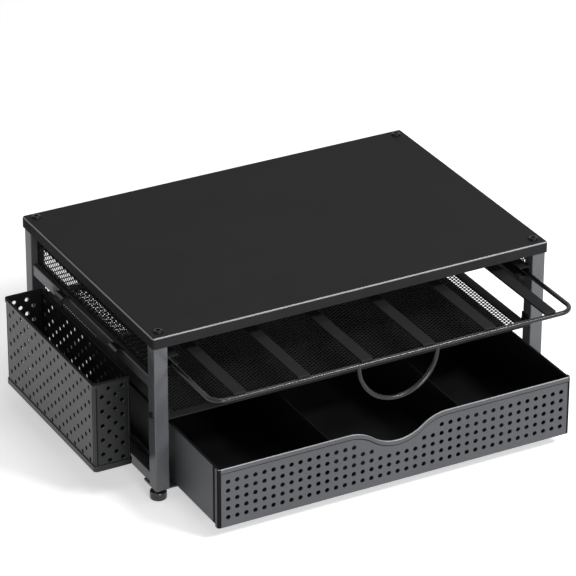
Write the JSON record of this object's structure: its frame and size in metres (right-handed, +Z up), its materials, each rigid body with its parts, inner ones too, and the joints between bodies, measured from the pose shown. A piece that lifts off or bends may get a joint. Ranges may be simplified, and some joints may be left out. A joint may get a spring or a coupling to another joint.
{
  "type": "coffee pod drawer",
  "caption": "Low steel stand for a coffee machine, with a sliding wire rack that holds pods by their rims, a perforated drawer under it, and a lift-off perforated side basket.",
  "frame": {"origin": "on the counter, under the middle of everything as it stands, basket and pulled-out drawer and rack included", "axes": "+X to the right seen from the front, +Y to the back, +Z up; the drawer and the rack pull out towards -Y"},
  "size_m": [0.3964, 0.3162, 0.1519],
  "materials": {
    "matte_black_coat": "matte black powder coat on steel",
    "satin_grey_coat": "satin black powder coat on steel, dark grey in the light",
    "blackened_screw": "blackened steel",
    "foot_plastic": "glossy grey plastic"
  },
  "bodies": {
    "stand": {"top_plate": "matte_black_coat", "top_screws": "blackened_screw", "leg_plugs": "blackened_screw", "leg_front_left": "satin_grey_coat", "leg_front_right": "satin_grey_coat", "leg_rear_left": "satin_grey_coat", "leg_rear_right": "satin_grey_coat", "top_rail_left": "satin_grey_coat", "top_rail_right": "satin_grey_coat", "mid_rail_left": "satin_grey_coat", "mid_rail_right": "satin_grey_coat", "bottom_rail_left": "satin_grey_coat", "bottom_rail_right": "satin_grey_coat", "rear_crossbar": "satin_grey_coat", "foot_plates": "satin_grey_coat", "side_mesh_left": "matte_black_coat", "side_mesh_right": "matte_black_coat", "shelf_frame": "matte_black_coat", "shelf_mesh": "matte_black_coat", "shelf_screws": "blackened_screw", "shelf_nuts": "blackened_screw", "rack_rail_left": "satin_grey_coat", "rack_rail_right": "satin_grey_coat", "drawer_runner_left": "satin_grey_coat", "drawer_runner_right": "satin_grey_coat"},
    "rack": {"rack_wire": "matte_black_coat", "rack_handle": "matte_black_coat", "rack_strip_1": "matte_black_coat", "rack_strip_2": "matte_black_coat", "rack_strip_3": "matte_black_coat", "rack_strip_4": "matte_black_coat", "rack_strip_5": "matte_black_coat", "rack_strip_6": "matte_black_coat"},
    "drawer": {"drawer_front": "satin_grey_coat", "drawer_tray": "satin_grey_coat", "drawer_divider_left": "matte_black_coat", "drawer_divider_right": "matte_black_coat"},
    "basket": {"basket_outer_wall": "satin_grey_coat", "basket_inner_wall": "satin_grey_coat", "basket_front_wall": "satin_grey_coat", "basket_rear_wall": "satin_grey_coat", "basket_corners": "satin_grey_coat", "basket_floor": "satin_grey_coat", "basket_rim": "matte_black_coat", "basket_hooks": "satin_grey_coat"},
    "foot_1": {"foot_front_left": "foot_plastic"},
    "foot_2": {"foot_front_right": "foot_plastic"},
    "foot_3": {"foot_rear_left": "foot_plastic"},
    "foot_4": {"foot_rear_right": "foot_plastic"}
  },
  "joints": [
    {"name": "rack_slide", "type": "slide", "parent": "stand", "child": "rack", "axis": [0, -1, 0], "range_m": [-0.0713, 0.11]},
    {"name": "drawer_slide", "type": "slide", "parent": "stand", "child": "drawer", "axis": [0, -1, 0], "range_m": [-0.0717, 0.08]},
    {"name": "basket_lift", "type": "slide", "parent": "stand", "child": "basket", "axis": [0, 0, 1], "range_m": [0, 0.025]},
    {"name": "foot_1_level", "type": "slide", "parent": "stand", "child": "foot_1", "axis": [0, 0, -1], "range_m": [0, 0.004]},
    {"name": "foot_2_level", "type": "slide", "parent": "stand", "child": "foot_2", "axis": [0, 0, -1], "range_m": [0, 0.004]},
    {"name": "foot_3_level", "type": "slide", "parent": "stand", "child": "foot_3", "axis": [0, 0, -1], "range_m": [0, 0.004]},
    {"name": "foot_4_level", "type": "slide", "parent": "stand", "child": "foot_4", "axis": [0, 0, -1], "range_m": [0, 0.004]}
  ]
}
